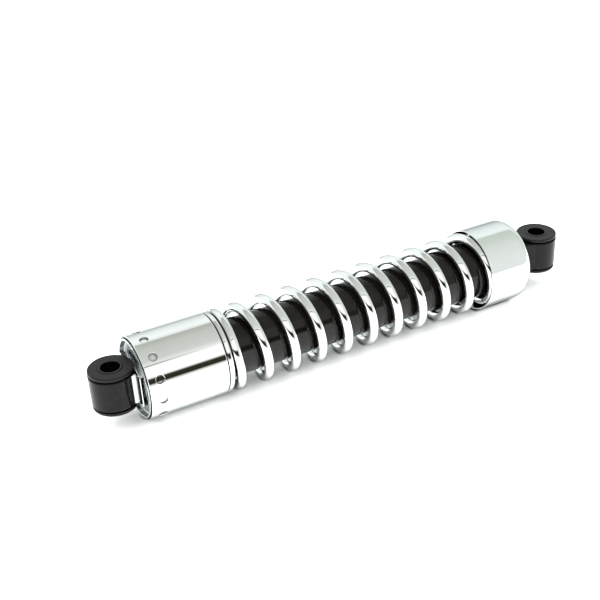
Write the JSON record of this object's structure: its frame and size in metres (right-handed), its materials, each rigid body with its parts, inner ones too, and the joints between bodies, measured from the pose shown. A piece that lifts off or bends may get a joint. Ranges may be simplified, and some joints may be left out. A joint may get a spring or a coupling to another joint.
{
  "type": "rear shock absorber",
  "caption": "Coil-over rear shock absorber with rubber-bushed eyes, chrome covers and spring, black damper tube and a twist preload adjuster.",
  "frame": {"origin": "middle of the lower eye's bore, on the damper's centre line", "axes": "+X along the damper from the lower eye to the upper eye; +Z along the two eye bores; +Y completes the right-handed frame"},
  "size_m": [0.4078, 0.0664, 0.0664],
  "materials": {
    "eye_black": "gloss black enamel on steel",
    "bush_rubber": "satin moulded rubber",
    "sleeve_steel": "dark phosphated steel sleeve",
    "zinc_plate": "bright blue-white zinc plate",
    "gloss_black_tube": "gloss black enamel",
    "chrome": "mirror chrome plate",
    "ground_steel": "ground steel",
    "guide_aluminium": "machined aluminium",
    "bearing_bronze": "sintered bronze",
    "seal_rubber": "black nitrile and urethane",
    "piston_band": "filled PTFE"
  },
  "bodies": {
    "damper_body": {"lower_eye_ring": "eye_black", "lower_rubber_bush": "bush_rubber", "lower_eye_neck": "zinc_plate", "end_dish": "zinc_plate", "tube_bottom_cap": "zinc_plate", "damper_tube": "gloss_black_tube", "pressure_tube": "ground_steel", "base_valve": "guide_aluminium", "rod_guide": "guide_aluminium", "guide_bush": "bearing_bronze", "guide_seal_ring": "seal_rubber", "rod_seal": "seal_rubber", "gland_nut": "ground_steel", "collar_key": "ground_steel"},
    "lower_sleeve": {"lower_bush_sleeve": "sleeve_steel"},
    "preload_adjuster": {"adjuster_sleeve": "chrome", "preload_cam": "chrome"},
    "spring_seat": {"spring_collar": "chrome", "cam_followers": "ground_steel", "coil_spring": "chrome"},
    "piston_ring": {"piston_band": "piston_band"},
    "rod_assembly": {"piston_rod": "ground_steel", "piston": "guide_aluminium", "valve_shims": "ground_steel", "piston_nut": "ground_steel", "top_out_bumper": "seal_rubber", "bump_washer": "zinc_plate", "bump_stop": "seal_rubber", "dust_tube": "gloss_black_tube", "upper_spring_seat": "zinc_plate", "upper_cover": "chrome", "lock_nut": "zinc_plate", "upper_eye_neck": "zinc_plate", "upper_eye_ring": "eye_black", "upper_rubber_bush": "bush_rubber"},
    "upper_sleeve": {"upper_bush_sleeve": "sleeve_steel"}
  },
  "joints": [
    {"name": "rod_stroke", "type": "slide", "parent": "damper_body", "child": "piston_ring", "axis": [-1, 0, 0], "range_m": [0, 0.064], "stiffness_N_per_m": 22000, "springref_m": -0.012, "deforming": ["coil_spring", "bump_stop"]},
    {"name": "rod_swivel", "type": "hinge", "parent": "piston_ring", "child": "rod_assembly", "pos_m": [0.2, 0, 0], "axis": [1, 0, 0], "continuous": true},
    {"name": "preload_turn", "type": "hinge", "parent": "damper_body", "child": "preload_adjuster", "pos_m": [0.0166, 0, 0], "axis": [-1, 0, 0], "range_deg": [0, 150]},
    {"name": "spring_seat_lift", "type": "slide", "parent": "damper_body", "child": "spring_seat", "axis": [1, 0, 0], "range_m": [0, 0.00801]},
    {"name": "lower_bush_twist", "type": "hinge", "parent": "damper_body", "child": "lower_sleeve", "pos_m": [0, 0, 0], "axis": [0, 0, 1], "range_deg": [-15, 15], "stiffness_Nm_per_rad": 12},
    {"name": "upper_bush_twist", "type": "hinge", "parent": "rod_assembly", "child": "upper_sleeve", "pos_m": [0.37465, 0, 0], "axis": [0, 0, 1], "range_deg": [-15, 15], "stiffness_Nm_per_rad": 12}
  ],
  "couplings": [
    {"joint": "spring_seat_lift", "follows": "preload_turn", "m_per_rad": 0.0030558}
  ]
}
